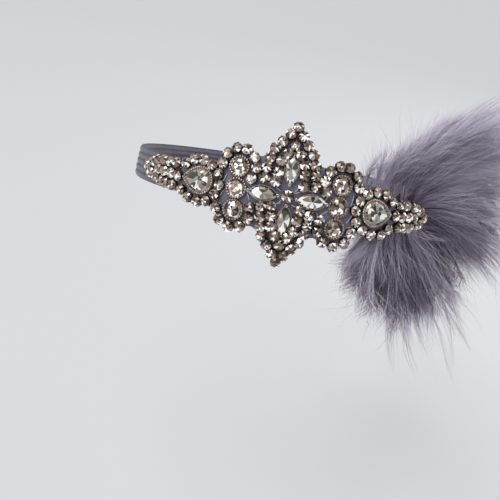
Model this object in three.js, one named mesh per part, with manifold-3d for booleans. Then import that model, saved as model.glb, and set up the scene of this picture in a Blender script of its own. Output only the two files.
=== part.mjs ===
// A flapper headband: a ribbed elastic loop, a felt-backed rhinestone applique sewn to its front,
// and two fluffy plumes tucked behind the applique's right arm. Millimetres, +Z up, front towards -Y.
import * as THREE from "three";
import { mergeVertices } from "three/addons/utils/BufferGeometryUtils.js";
import Module from "manifold-3d";

const wasm = await Module();
wasm.setup();

// Driving dimensions: the head that the loop is worn on
const HEAD_HALF_WIDTH = 83;
const HEAD_HALF_DEPTH = 88;
const HEAD_TAPER_DEG = 4.8;
const HEAD_UPRIGHT_RADIUS = 100;
const WORN_TILT_DEG = 18;

// Driving dimensions: the layers, measured outwards from the head
const GAP = 0.3;
const FELT_GAP = 0.4;
const BAND_HEIGHT = 16;
const BAND_GROOVE = 1.1;
const BAND_RIDGE = 1.6;
const FELT_THICKNESS = 1.2;
const FELT_SEAT = BAND_RIDGE + FELT_GAP;
const STONE_SEAT = FELT_SEAT + FELT_THICKNESS + GAP;
const APPLIQUE_SLANT = -0.022;
const PLUME_LIFT = 2.0;
const LIFT_STARTS = 4;
const LIFT_ENDS = 44;

// Driving dimensions: the stones, each with the cup that it is set in
const STONE_SIDES = 8;
const STONE_FLAT = 4.2;
const STONE = { base: 0.9, girdleAt: 1.3, table: 0.58, height: 2.3 };
const CENTRE_FLAT = 4.8;
const NAVETTE = { length: 13.4, width: 6.0, cup: 1.4, crown: 1.3, inset: 1.2 };
const PEAR = {
  length: 16.6,
  width: 13.2,
  shoulder: 0.55,
  fullness: 0.95,
  cup: 1.7,
  crown: 1.7,
  inset: 2.1,
};
const ROSETTE = {
  sides: 12,
  radius: 4.4,
  base: 0.94,
  rimAt: 1.0,
  stone: 2.7,
  stoneAt: 1.5,
  table: 1.6,
  height: 2.8,
};
const FANCY_SEGMENTS = 3;

const LILAC = { color: 0x8f8a9c, roughness: 0.9, metalness: 0 };
const PLUME_LILAC = { color: 0x8d8598, roughness: 0.95, metalness: 0 };
const CRYSTAL = { color: 0xb9b0a4, roughness: 0.15, metalness: 0.85 };

const radians = THREE.MathUtils.degToRad;

// The inside of the band as a closed curve, run from the front centre towards the right
const OVAL_DIVISIONS = 720;
const oval = new THREE.EllipseCurve(
  0, 0, HEAD_HALF_WIDTH, HEAD_HALF_DEPTH, -Math.PI / 2, 1.5 * Math.PI,
);
oval.arcLengthDivisions = OVAL_DIVISIONS;
const OVAL_LENGTH = oval.getLength();

// The applique is sewn on a little aslant, its right arm lower than its left
const slanted = (along, up) => up + APPLIQUE_SLANT * along;

// How far it stands off where its right arm rides over the plumes' roots
const liftAt = (along) => PLUME_LIFT * THREE.MathUtils.smoothstep(along, LIFT_STARTS, LIFT_ENDS);

// A place on the head: along the band from the front centre, up across it, and out from the skin,
// with the directions of those three there.
function headFrame(along, up, out) {
  const share = THREE.MathUtils.euclideanModulo(along / OVAL_LENGTH, 1);
  const point = oval.getPointAt(share);
  const tangent = oval.getTangentAt(share);
  const taper = Math.tan(radians(HEAD_TAPER_DEG));
  const inset = (up * up) / (2 * HEAD_UPRIGHT_RADIUS) + up * taper;
  const slope = up / HEAD_UPRIGHT_RADIUS + taper;
  const level = new THREE.Vector3(tangent.y, -tangent.x, 0);
  const alongWay = new THREE.Vector3(tangent.x, tangent.y, 0);
  const outWay = level.clone().add(new THREE.Vector3(0, 0, slope)).normalize();
  const upWay = new THREE.Vector3().crossVectors(outWay, alongWay);
  const place = new THREE.Vector3(point.x, point.y, up).addScaledVector(level, -inset);
  return { place: place.addScaledVector(outWay, out), alongWay, upWay, outWay };
}

const headPoint = (along, up, out) => headFrame(along, up, out).place;

// The matrix that sets a piece, made flat with its base at z = 0, on the head
function seatMatrix(along, up, out) {
  const { place, alongWay, upWay, outWay } = headFrame(along, up, out);
  return new THREE.Matrix4().makeBasis(alongWay, upWay, outWay).setPosition(place);
}

// The same for a stone, leaned to follow the felt where the arm climbs over the plumes' roots
const CLIMB_STEP = 0.5;

function stoneSeat(along, up) {
  const rise = liftAt(along + CLIMB_STEP) - liftAt(along - CLIMB_STEP);
  const climb = Math.atan(rise / (2 * CLIMB_STEP));
  const seat = seatMatrix(along, slanted(along, up), STONE_SEAT + liftAt(along));
  return seat.multiply(new THREE.Matrix4().makeRotationY(-climb));
}

// Moves every vertex of a geometry to where a function puts it
function bend(geometry, place) {
  const position = geometry.getAttribute("position");
  for (let i = 0; i < position.count; i++) {
    const p = place(position.getX(i), position.getY(i), position.getZ(i));
    position.setXYZ(i, p.x, p.y, p.z);
  }
  return geometry;
}

// A closed geometry as a solid that can be joined and cut
const SAME_PLACE = 1e-3;

function toSolid(geometry) {
  const bare = geometry.clone();
  bare.deleteAttribute("normal");
  bare.deleteAttribute("uv");
  const merged = mergeVertices(bare, SAME_PLACE);
  return new wasm.Manifold(
    new wasm.Mesh({
      numProp: 3,
      vertProperties: new Float32Array(merged.attributes.position.array),
      triVerts: new Uint32Array(merged.index.array),
    }),
  );
}

function toGeometry(solid) {
  const mesh = solid.getMesh();
  const geometry = new THREE.BufferGeometry();
  geometry.setAttribute("position", new THREE.BufferAttribute(mesh.vertProperties, 3));
  geometry.setIndex(new THREE.BufferAttribute(mesh.triVerts, 1));
  geometry.computeVertexNormals();
  return geometry;
}

const joined = (geometries) => wasm.Manifold.union(geometries.map(toSolid));

const largestBody = (solid) => solid.decompose().sort((a, b) => b.volume() - a.volume())[0];

function meshOf(name, geometry, look) {
  const mesh = new THREE.Mesh(geometry, new THREE.MeshStandardMaterial(look));
  mesh.name = name;
  return mesh;
}

// A stone or setting turned about its own upright axis, with flats facing along and across
function turned(sides, profile) {
  const points = profile.map(([radius, height]) => new THREE.Vector2(radius, height));
  const geometry = new THREE.LatheGeometry(points, sides);
  return geometry.rotateY(Math.PI / sides).rotateX(Math.PI / 2);
}

// The elastic: one rib profile swept round the head
const BAND_RIBS = 5;
const BAND_STATIONS = 60;

function bandGeometry() {
  const half = BAND_HEIGHT / 2;
  const inner = [new THREE.Vector2(0, half), new THREE.Vector2(0, -half)];
  const outer = [];
  for (let i = 0; i <= 2 * BAND_RIBS; i++) {
    const thick = i % 2 ? BAND_RIDGE : BAND_GROOVE;
    outer.push(new THREE.Vector2(thick, -half + (i * BAND_HEIGHT) / (2 * BAND_RIBS)));
  }
  const profile = [...inner, ...outer, inner[0].clone()];
  profile.forEach((p) => (p.x += HEAD_HALF_WIDTH));
  const ring = new THREE.LatheGeometry(profile, BAND_STATIONS);
  return bend(ring, (x, y, z) => {
    const along = (Math.atan2(x, z) / (2 * Math.PI)) * OVAL_LENGTH;
    return headPoint(along, y, Math.hypot(x, z) - HEAD_HALF_WIDTH);
  });
}

// The felt backing: its upper and lower edges at stations along the applique, the same on both arms
const FELT_STATIONS = [
  { along: 0, upper: 30.0, lower: -30.0 },
  { along: 5, upper: 25.6, lower: -25.6 },
  { along: 10, upper: 18.6, lower: -18.6 },
  { along: 14, upper: 14.6, lower: -15.6 },
  { along: 18, upper: 16.2, lower: -18.4 },
  { along: 23, upper: 17.8, lower: -19.4 },
  { along: 28, upper: 15.0, lower: -17.0 },
  { along: 33, upper: 8.0, lower: -11.6 },
  { along: 41, upper: 9.8, lower: -12.2 },
  { along: 49, upper: 6.8, lower: -9.2 },
  { along: 55, upper: 4.6, lower: -7.2 },
  { along: 62, upper: 4.8, lower: -7.4 },
  { along: 71, upper: 2.8, lower: -5.4 },
  { along: 80, upper: -0.8, lower: -2.2 },
];
const FELT_HALF_LENGTH = FELT_STATIONS.at(-1).along;
const FELT_COLUMNS = 44;
const FELT_ROWS = 5;

// One edge of the felt as a smooth curve through its stations
const feltEdge = (side) =>
  new THREE.SplineCurve(FELT_STATIONS.map((s) => new THREE.Vector2(s.along, s[side])));
const upperEdge = feltEdge("upper");
const lowerEdge = feltEdge("lower");

// The height of an edge at a distance along the applique
function edgeHeight(edge, along) {
  const reach = Math.min(Math.abs(along), FELT_HALF_LENGTH);
  const last = FELT_STATIONS.length - 1;
  let i = FELT_STATIONS.findIndex((s) => s.along >= reach);
  i = Math.max(i, 1);
  const from = FELT_STATIONS[i - 1].along;
  const share = (reach - from) / (FELT_STATIONS[i].along - from);
  return edge.getPoint((i - 1 + share) / last).y;
}

function feltGeometry() {
  const slab = new THREE.BoxGeometry(1, 1, 1, FELT_COLUMNS, FELT_ROWS, 1);
  return bend(slab, (x, y, z) => {
    const along = 2 * x * FELT_HALF_LENGTH;
    const lower = edgeHeight(lowerEdge, along);
    const upper = edgeHeight(upperEdge, along);
    const up = THREE.MathUtils.lerp(lower, upper, y + 0.5);
    const out = FELT_SEAT + liftAt(along) + FELT_THICKNESS * (z + 0.5);
    return headPoint(along, slanted(along, up), out);
  });
}

// A round stone in its cup, from base to girdle to table
function stoneLevels(flat) {
  const girdle = flat / 2 / Math.cos(Math.PI / STONE_SIDES);
  return [
    { radius: girdle * STONE.base, height: 0 },
    { radius: girdle, height: STONE.girdleAt },
    { radius: girdle * STONE.table, height: STONE.height },
  ];
}

const STONE_LEVELS = stoneLevels(STONE_FLAT);

function roundStone(flat) {
  const levels = stoneLevels(flat).map(({ radius, height }) => [radius, height]);
  return turned(STONE_SIDES, [[0, 0], ...levels, [0, STONE.height]]);
}

// The chains of round stones. A diamond runs from one waist over its point to the other; a ring runs
// round a centre from one angle to another, for the right arm, and the left arm mirrors it.
const DIAMONDS = [
  { name: "top_outer_chain", count: 13, point: 29.2, shoulder: [9.6, 17.8], waist: [11.1, 6.0] },
  { name: "top_inner_chain", count: 9, point: 21.4, shoulder: [5.6, 13.6], waist: [6.0, 5.2] },
  { name: "bottom_outer_chain", count: 13, point: -29.2, shoulder: [9.2, -17.6], waist: [10.6, -6.2] },
  { name: "bottom_inner_chain", count: 9, point: -21.4, shoulder: [5.4, -13.6], waist: [5.9, -5.2] },
];
const RINGS = [
  { name: "upper_scroll_chain", count: 7, centre: [22.8, 8.6], radii: [7.75, 7.75], from: 210, to: 0 },
  { name: "lower_scroll_chain", count: 6, centre: [22.3, -10.2], radii: [7.8, 7.8], from: -6, to: -200 },
  { name: "pear_chain", count: 11, centre: [41.0, -1.2], radii: [10.8, 9.4], from: -40, to: -320 },
];
// The tip's leaf: an outer row from its lower heel round the end to its upper heel, and a short core
const TIP = { heel: 55.2, end: 77.6, axis: -1.2, halfWidth: 5.2, rowCount: 5, core: [57.2, 62.6] };

const line = (a, b) => new THREE.LineCurve(new THREE.Vector2(...a), new THREE.Vector2(...b));

function diamondPlaces({ count, point, shoulder, waist }) {
  const path = new THREE.CurvePath();
  const mirrored = ([along, up]) => [-along, up];
  path.add(line(mirrored(waist), mirrored(shoulder)));
  path.add(line(mirrored(shoulder), [0, point]));
  path.add(line([0, point], shoulder));
  path.add(line(shoulder, waist));
  return path.getSpacedPoints(count - 1);
}

function ringPlaces({ count, centre, radii, from, to }) {
  return Array.from({ length: count }, (_, i) => {
    const angle = radians(THREE.MathUtils.lerp(from, to, i / (count - 1)));
    return new THREE.Vector2(
      centre[0] + radii[0] * Math.cos(angle),
      centre[1] + radii[1] * Math.sin(angle),
    );
  });
}

function tipPlaces() {
  const places = [];
  for (let i = -TIP.rowCount; i <= TIP.rowCount; i++) {
    const back = Math.abs(i) / TIP.rowCount;
    const width = TIP.halfWidth * Math.sqrt(Math.sin((back * Math.PI) / 2));
    const along = THREE.MathUtils.lerp(TIP.end, TIP.heel, back);
    places.push(new THREE.Vector2(along, TIP.axis + Math.sign(i) * width));
  }
  TIP.core.forEach((along) => places.push(new THREE.Vector2(along, TIP.axis)));
  return places;
}

// A string of round stones, each cup joined to the next by a short bridge between two facing sides.
// Corners are numbered by stone, then level, then side.
const SIDE_ANGLE = (2 * Math.PI) / STONE_SIDES;
const LEVELS = STONE_LEVELS.length;
const sideOf = (turn) => THREE.MathUtils.euclideanModulo(Math.round(turn / SIDE_ANGLE), STONE_SIDES);
const corner = (stone, level, side) =>
  (stone * LEVELS + level) * STONE_SIDES + THREE.MathUtils.euclideanModulo(side, STONE_SIDES);

// How each stone is turned: one side faces its next neighbour, and its nearest side meets the last one
function chainTurns(spots) {
  return spots.map((spot, stone) => {
    const first = stone === 0;
    const last = stone === spots.length - 1;
    const from = last ? spots[stone - 1] : spot;
    const to = last ? spot : spots[stone + 1];
    const facing = to.clone().sub(from).angle();
    const backSide = first ? -1 : sideOf(spots[stone - 1].clone().sub(spot).angle() - facing);
    return { facing, frontSide: last ? -1 : 0, backSide };
  });
}

function stoneCorners(spot, facing) {
  const seat = stoneSeat(spot.x, spot.y);
  return STONE_LEVELS.flatMap(({ radius, height }) =>
    Array.from({ length: STONE_SIDES }, (_, side) => {
      const turn = facing + (side - 0.5) * SIDE_ANGLE;
      const flat = new THREE.Vector3(Math.cos(turn) * radius, Math.sin(turn) * radius, height);
      return flat.applyMatrix4(seat);
    }),
  );
}

const quad = (a, b, c, d) => [a, b, c, a, c, d];

// One stone's sides, crown, base and table, left open where a bridge meets its cup
function stoneFaces(stone, { frontSide, backSide }) {
  const faces = [];
  const table = LEVELS - 1;
  for (let side = 0; side < STONE_SIDES; side++) {
    const bridged = side === frontSide || side === backSide;
    for (let level = bridged ? 1 : 0; level < table; level++) {
      const low = [corner(stone, level, side), corner(stone, level, side + 1)];
      const high = [corner(stone, level + 1, side), corner(stone, level + 1, side + 1)];
      faces.push(...quad(low[0], low[1], high[1], high[0]));
    }
  }
  for (let side = 1; side < STONE_SIDES - 1; side++) {
    faces.push(corner(stone, 0, 0), corner(stone, 0, side + 1), corner(stone, 0, side));
    faces.push(corner(stone, table, 0), corner(stone, table, side), corner(stone, table, side + 1));
  }
  return faces;
}

// The four faces of the bridge from the stone before to this one
function bridgeFaces(stone, { backSide }) {
  const right = [0, 1].map((level) => [corner(stone - 1, level, 0), corner(stone, level, backSide + 1)]);
  const left = [0, 1].map((level) => [corner(stone - 1, level, 1), corner(stone, level, backSide)]);
  const [low, high] = [0, 1];
  return [
    ...quad(right[high][0], right[high][1], left[high][1], left[high][0]),
    ...quad(right[low][0], left[low][0], left[low][1], right[low][1]),
    ...quad(right[low][0], right[low][1], right[high][1], right[high][0]),
    ...quad(left[low][0], left[high][0], left[high][1], left[low][1]),
  ];
}

function chainGeometry(places, way = 1) {
  const spots = places.map((p) => new THREE.Vector2(way * p.x, p.y));
  const turns = chainTurns(spots);
  const corners = spots.flatMap((spot, stone) => stoneCorners(spot, turns[stone].facing));
  const faces = turns.flatMap((turn, stone) => [
    ...stoneFaces(stone, turn),
    ...(stone > 0 ? bridgeFaces(stone, turn) : []),
  ]);
  const geometry = new THREE.BufferGeometry().setFromPoints(corners);
  geometry.setIndex(faces);
  geometry.computeVertexNormals();
  return geometry;
}

// A fancy-cut stone in its cup: a flat outline raised to a girdle, then bevelled in to the table
function fancyStone(shape, { cup, crown, inset }) {
  const stone = new THREE.ExtrudeGeometry(shape, {
    depth: cup,
    bevelThickness: crown,
    bevelSize: inset,
    bevelOffset: -inset,
    bevelSegments: 1,
    curveSegments: FANCY_SEGMENTS,
  });
  return bend(stone, (x, y, z) => new THREE.Vector3(x, y, Math.max(z, 0)));
}

// A navette: two equal arcs that meet in a point at each end
function navetteShape() {
  const half = NAVETTE.length / 2;
  const rise = NAVETTE.width / 2;
  const radius = (half * half + rise * rise) / (2 * rise);
  const sweep = Math.asin(half / radius);
  const shape = new THREE.Shape();
  shape.absarc(0, rise - radius, radius, Math.PI / 2 - sweep, Math.PI / 2 + sweep, false);
  shape.absarc(0, radius - rise, radius, 1.5 * Math.PI - sweep, 1.5 * Math.PI + sweep, false);
  return shape;
}

// A pear: a round end, and two sides that draw in to a point
function pearShape() {
  const round = PEAR.width / 2;
  const reach = PEAR.length - round;
  const shape = new THREE.Shape();
  shape.moveTo(reach, 0);
  shape.quadraticCurveTo(reach * PEAR.shoulder, round * PEAR.fullness, 0, round);
  shape.absarc(0, 0, round, Math.PI / 2, 1.5 * Math.PI, false);
  shape.quadraticCurveTo(reach * PEAR.shoulder, -round * PEAR.fullness, reach, 0);
  return shape;
}

// A rosette: a low round setting with a cut stone in its middle
function rosette() {
  const { sides, radius, base, rimAt, stone, stoneAt, table, height } = ROSETTE;
  return turned(sides, [
    [0, 0],
    [radius * base, 0],
    [radius, rimAt],
    [stone, stoneAt],
    [table, height],
    [0, height],
  ]);
}

const NAVETTES = [
  { name: "top_navette", along: 0, up: 11.1, turn: 90 },
  { name: "bottom_navette", along: 0, up: -10.4, turn: 90 },
  { name: "left_navette", along: -10.6, up: -0.5, turn: 0 },
  { name: "right_navette", along: 10.6, up: -0.5, turn: 0 },
];
const ROSETTES = [
  { name: "upper_rosette", along: 22.8, up: 8.6 },
  { name: "middle_rosette", along: 22.4, up: -0.8 },
  { name: "lower_rosette", along: 22.3, up: -10.2 },
];
const PEAR_ROUND_END = 39.6;
const ARM_AXIS = -1.0;
const SIDES = [
  { name: "left", way: -1 },
  { name: "right", way: 1 },
];

// The plumes: every lock starts on a flat bound root, runs hidden behind the arm, then swings out.
// Angles lie in the head's skin, 0 to the rear and 90 up. Rise is the lean away from the head, and
// curl the turn, that a lock has gained at its end.
const ROOT = {
  from: 46,
  to: 77,
  columns: 6,
  halfHeight: 4.4,
  rows: 2,
  out: BAND_RIDGE + GAP,
  thickness: 1.6,
};
const LOCK = {
  sides: 6,
  steps: 6,
  rootHalfWidth: 2.2,
  rootHalfThick: 0.62,
  tip: 0.15,
  flatness: 0.66,
  fullest: 0.6,
  roundness: 0.8,
  headClearance: 0.65,
};
const UPPER_LOCKS = [
  { along: 46, angle: 112, length: 28, hidden: 15, rise: 10, curl: 10, width: 10 },
  { along: 52, angle: 97, length: 32, hidden: 14, rise: 22, curl: -26, width: 13 },
  { along: 57, angle: 84, length: 41, hidden: 13, rise: 8, curl: -45, width: 16 },
  { along: 60, angle: 74, length: 53, hidden: 13, rise: 28, curl: -50, width: 18 },
  { along: 63, angle: 63, length: 75, hidden: 12, rise: 10, curl: -48, width: 20 },
  { along: 65, angle: 54, length: 98, hidden: 12, rise: 32, curl: -42, width: 23 },
  { along: 67, angle: 43, length: 108, hidden: 12, rise: 10, curl: -36, width: 24 },
  { along: 69, angle: 32, length: 114, hidden: 12, rise: 34, curl: -30, width: 25 },
  { along: 70, angle: 21, length: 116, hidden: 12, rise: 13, curl: -26, width: 25 },
  { along: 71, angle: 10, length: 112, hidden: 12, rise: 36, curl: -24, width: 24 },
  { along: 72, angle: 1, length: 104, hidden: 12, rise: 14, curl: -24, width: 22 },
  { along: 72, angle: -7, length: 88, hidden: 12, rise: 30, curl: -24, width: 19 },
];
const LOWER_LOCKS = [
  { along: 70, angle: -22, length: 84, hidden: 13, rise: 12, curl: -12, width: 18 },
  { along: 69, angle: -36, length: 72, hidden: 13, rise: 30, curl: -8, width: 19 },
  { along: 67, angle: -48, length: 78, hidden: 13, rise: 10, curl: -8, width: 18 },
  { along: 64, angle: -60, length: 78, hidden: 13, rise: 30, curl: -6, width: 19 },
  { along: 62, angle: -72, length: 76, hidden: 13, rise: 10, curl: -4, width: 18 },
  { along: 59, angle: -84, length: 72, hidden: 13, rise: 28, curl: 0, width: 17 },
  { along: 57, angle: -96, length: 66, hidden: 13, rise: 10, curl: 6, width: 16 },
  { along: 54, angle: -108, length: 58, hidden: 14, rise: 24, curl: 10, width: 15 },
  { along: 50, angle: -112, length: 48, hidden: 16, rise: 9, curl: -8, width: 13 },
  { along: 46, angle: -112, length: 38, hidden: 18, rise: 16, curl: -26, width: 10 },
];
const PARTING = { along: 64, angle: -14, reach: 400 };

// Where a lock's middle line is after a run along it, with its heading and its height off the skin
function lockLine({ along, angle, length, hidden, rise, curl }, run) {
  const near = Math.min(run, hidden);
  const far = run - near;
  const free = length - hidden;
  const start = radians(angle);
  const edge = headFrame(
    along + near * Math.cos(start),
    near * Math.sin(start),
    ROOT.out + ROOT.thickness / 2,
  );
  const heading = radians(angle + (curl * far) / free / 2);
  const lean = radians((rise * (free + far)) / free / 2);
  const ahead = edge.alongWay.multiplyScalar(Math.cos(heading));
  ahead.addScaledVector(edge.upWay, Math.sin(heading));
  edge.place.addScaledVector(ahead, far * Math.cos(lean));
  edge.place.addScaledVector(edge.outWay, far * Math.sin(lean));
  const clear = far * Math.sin(lean) + (far * far) / (2 * HEAD_UPRIGHT_RADIUS);
  return { place: edge.place, ahead, out: edge.outWay, clear, shown: far / free };
}

// One lock: a tapering tube along its line, thin while it is hidden, full beyond, and never so deep
// that it would press into the head
function lockGeometry(lock) {
  const tube = new THREE.CylinderGeometry(1, 1, 1, LOCK.sides, LOCK.steps);
  return bend(tube, (x, y, z) => {
    const step = (y + 0.5) * LOCK.steps;
    const free = (lock.length - lock.hidden) / (LOCK.steps - 1);
    const run = step < 1 ? step * lock.hidden : lock.hidden + (step - 1) * free;
    const { place, ahead, out, clear, shown } = lockLine(lock, run);
    const swell = Math.pow(Math.sin(Math.PI * Math.pow(shown, LOCK.fullest)), LOCK.roundness);
    const taper = 1 - (1 - LOCK.tip) * shown;
    const full = lock.width / 2;
    const wide = THREE.MathUtils.lerp(LOCK.rootHalfWidth * taper, full, swell);
    const deep = THREE.MathUtils.lerp(LOCK.rootHalfThick * taper, full * LOCK.flatness, swell);
    const depth = z < 0 ? Math.min(deep, LOCK.rootHalfThick + LOCK.headClearance * clear) : deep;
    const across = new THREE.Vector3().crossVectors(ahead, out);
    return place.addScaledVector(across, x * wide).addScaledVector(out, z * depth);
  });
}

// The flat bound root that the locks spring from
function rootGeometry() {
  const pad = new THREE.BoxGeometry(1, 1, 1, ROOT.columns, ROOT.rows, 1);
  return bend(pad, (x, y, z) => {
    const along = THREE.MathUtils.lerp(ROOT.from, ROOT.to, x + 0.5);
    return headPoint(along, 2 * y * ROOT.halfHeight, ROOT.out + ROOT.thickness * (z + 0.5));
  });
}

// Everything on one side of the parting between the two plumes, as a block to cut away
function partingBlock(side) {
  const block = new THREE.BoxGeometry(PARTING.reach, PARTING.reach, PARTING.reach);
  block.translate(0, side * (PARTING.reach / 2 - GAP / 2), 0);
  block.rotateZ(radians(PARTING.angle));
  return toSolid(block.applyMatrix4(seatMatrix(PARTING.along, 0, 0)));
}

function plumeGeometry(locks, otherSide) {
  const whole = joined([rootGeometry(), ...locks.map(lockGeometry)]);
  return toGeometry(largestBody(whole.subtract(partingBlock(otherSide))));
}

// The assembly
const headband = new THREE.Group();
headband.rotation.x = -radians(WORN_TILT_DEG);

headband.add(meshOf("elastic_band", bandGeometry(), LILAC));
headband.add(meshOf("felt_backing", feltGeometry(), LILAC));

// Adds a stone made flat, set on the applique and turned in its own plane
function addStone(name, geometry, along, up, turn = 0) {
  const stone = meshOf(name, geometry, CRYSTAL);
  const seat = stoneSeat(along, up).multiply(new THREE.Matrix4().makeRotationZ(radians(turn)));
  seat.decompose(stone.position, stone.quaternion, stone.scale);
  headband.add(stone);
}

addStone("centre_stone", roundStone(CENTRE_FLAT), 0, 0);
for (const { name, along, up, turn } of NAVETTES) {
  addStone(name, fancyStone(navetteShape(), NAVETTE), along, up, turn);
}
for (const diamond of DIAMONDS) {
  headband.add(meshOf(diamond.name, chainGeometry(diamondPlaces(diamond)), CRYSTAL));
}
for (const { name: side, way } of SIDES) {
  for (const { name, along, up } of ROSETTES) {
    addStone(`${side}_${name}`, rosette(), way * along, up);
  }
  const pearTurn = way > 0 ? 0 : 180;
  addStone(`${side}_pear`, fancyStone(pearShape(), PEAR), way * PEAR_ROUND_END, ARM_AXIS, pearTurn);
  for (const ring of RINGS) {
    headband.add(meshOf(`${side}_${ring.name}`, chainGeometry(ringPlaces(ring), way), CRYSTAL));
  }
  headband.add(meshOf(`${side}_tip_chain`, chainGeometry(tipPlaces(), way), CRYSTAL));
}
headband.add(meshOf("upper_plume", plumeGeometry(UPPER_LOCKS, -1), PLUME_LILAC));
headband.add(meshOf("lower_plume", plumeGeometry(LOWER_LOCKS, 1), PLUME_LILAC));

export default headband;
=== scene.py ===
# %% [markdown]
# A flapper headband is a stretchy loop with a jewelled applique sewn to its front and a plume tucked
# behind one end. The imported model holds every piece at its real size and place, so this lesson only
# gives each piece its looks. It keeps that model's box, because what is made later may stand only a
# little outside it.

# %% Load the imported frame
import math

import bmesh
import bpy
import numpy as np
from mathutils import Matrix, Vector


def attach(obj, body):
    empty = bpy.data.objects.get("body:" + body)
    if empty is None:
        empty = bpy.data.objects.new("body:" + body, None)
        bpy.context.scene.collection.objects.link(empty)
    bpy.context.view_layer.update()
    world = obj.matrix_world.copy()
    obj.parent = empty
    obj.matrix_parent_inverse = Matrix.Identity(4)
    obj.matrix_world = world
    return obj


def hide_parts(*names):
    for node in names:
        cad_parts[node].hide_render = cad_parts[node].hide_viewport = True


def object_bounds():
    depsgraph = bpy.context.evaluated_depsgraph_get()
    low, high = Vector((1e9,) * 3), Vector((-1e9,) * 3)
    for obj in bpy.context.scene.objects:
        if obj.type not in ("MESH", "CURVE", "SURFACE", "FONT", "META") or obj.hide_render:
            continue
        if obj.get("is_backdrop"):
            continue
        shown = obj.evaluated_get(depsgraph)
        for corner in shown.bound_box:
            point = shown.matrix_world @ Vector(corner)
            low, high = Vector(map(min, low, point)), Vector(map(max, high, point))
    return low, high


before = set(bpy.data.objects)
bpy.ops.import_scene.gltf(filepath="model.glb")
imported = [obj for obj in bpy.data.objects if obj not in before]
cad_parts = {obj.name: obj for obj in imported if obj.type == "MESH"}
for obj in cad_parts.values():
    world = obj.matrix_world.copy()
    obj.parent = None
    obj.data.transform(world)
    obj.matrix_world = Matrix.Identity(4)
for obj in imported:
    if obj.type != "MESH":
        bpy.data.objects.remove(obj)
cad_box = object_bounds()
print("frame:", len(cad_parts), "nodes between", *[tuple(round(x, 3) for x in p) for p in cad_box])

# %% [markdown]
# Everything on a headband follows the head, so one function turns three easy distances into a place:
# how far along the band from the middle of the forehead, how far up across it, and how far out from the
# skin. It also gives the three directions there, which is all that a stone needs to sit flat, and it
# takes whole arrays.

# %% The head that the band follows
MM = 0.001
HEAD_HALF_WIDTH = 83 * MM
HEAD_HALF_DEPTH = 88 * MM
HEAD_TAPER = math.tan(math.radians(4.8))
HEAD_UPRIGHT_RADIUS = 100 * MM
WORN_TILT = math.radians(18)
TILT = np.array(Matrix.Rotation(-WORN_TILT, 3, "X"))
OVAL_STEPS = 1440


def points_from(*axes):
    """Points from an array for each axis."""
    return np.stack(axes, axis=-1)


def runs_along(points):
    """How far along a line of points each one lies."""
    return np.concatenate([[0], np.cumsum(np.linalg.norm(np.diff(points, axis=0), axis=1))])


def unit(vectors):
    return vectors / np.linalg.norm(vectors, axis=-1, keepdims=True)


oval_turns = np.linspace(0, 2 * np.pi, OVAL_STEPS + 1)
oval = points_from(HEAD_HALF_WIDTH * np.sin(oval_turns), -HEAD_HALF_DEPTH * np.cos(oval_turns))
oval_runs = runs_along(oval)
OVAL_LENGTH = oval_runs[-1]


def on_head(along, up, out):
    """Places on the head, with the ways along, up and out there."""
    along, up, out = np.broadcast_arrays(*[np.asarray(x, float) for x in (along, up, out)])
    turn = np.interp(along % OVAL_LENGTH, oval_runs, oval_turns)
    zero = np.zeros_like(turn)
    point = points_from(HEAD_HALF_WIDTH * np.sin(turn), -HEAD_HALF_DEPTH * np.cos(turn), up)
    along_way = unit(points_from(HEAD_HALF_WIDTH * np.cos(turn), HEAD_HALF_DEPTH * np.sin(turn), zero))
    level = points_from(along_way[..., 1], -along_way[..., 0], zero)
    slope = up / HEAD_UPRIGHT_RADIUS + HEAD_TAPER
    out_way = unit(level + points_from(zero, zero, slope))
    up_way = np.cross(out_way, along_way)
    inset = up * up / (2 * HEAD_UPRIGHT_RADIUS) + up * HEAD_TAPER
    place = point - level * inset[..., None] + out_way * out[..., None]
    return [way @ TILT.T for way in (place, along_way, up_way, out_way)]


def seat_matrix(along, up, out):
    """Carries a piece made flat, base at z = 0, to its seat on the head."""
    place, *ways = on_head(along, up, out)
    return Matrix.Translation(place) @ Matrix(np.array(ways).T.tolist()).to_4x4()


print("band length", round(OVAL_LENGTH, 4), "m round the head")

# %% [markdown]
# The camera repeats the photograph's viewing angle: a little above the band, rolled so that the band
# runs downhill to the right, and close enough that near stones look larger than far elastic. The angles
# are those to the head, so the head's tilt is added.

# %% Camera
LENS = 43.2
NEAREST_SEEN = 10 * MM
AIM = (0, -91 * MM, 0)
FROM_AIM = (-16.7 * MM, -23.7 * MM, 269.1 * MM)
AZIMUTH = math.radians(-0.84)
ELEVATION = math.radians(11.35)
ROLL = math.radians(9.59)


def rotation(axis, angle):
    return Matrix.Rotation(angle, 4, axis)


def add_camera():
    data = bpy.data.cameras.new("camera")
    data.lens = LENS
    data.clip_start = NEAREST_SEEN
    camera = bpy.data.objects.new("camera", data)
    camera.matrix_world = (
        rotation("X", -WORN_TILT) @ Matrix.Translation(AIM) @ rotation("Z", AZIMUTH)
        @ rotation("X", math.pi / 2 - ELEVATION) @ rotation("Z", ROLL) @ Matrix.Translation(FROM_AIM)
    )
    bpy.context.scene.collection.objects.link(camera)
    bpy.context.scene.camera = camera
    return camera


camera = add_camera()
print("camera at", tuple(round(x, 3) for x in camera.matrix_world.translation))

# %% [markdown]
# Cut stones show what is around them: broad soft lights give each facet either a white patch or a quiet
# grey one. A wide sun lamp lights all from above, one panel fills from the front left, and another
# catches the plume from behind.

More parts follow.
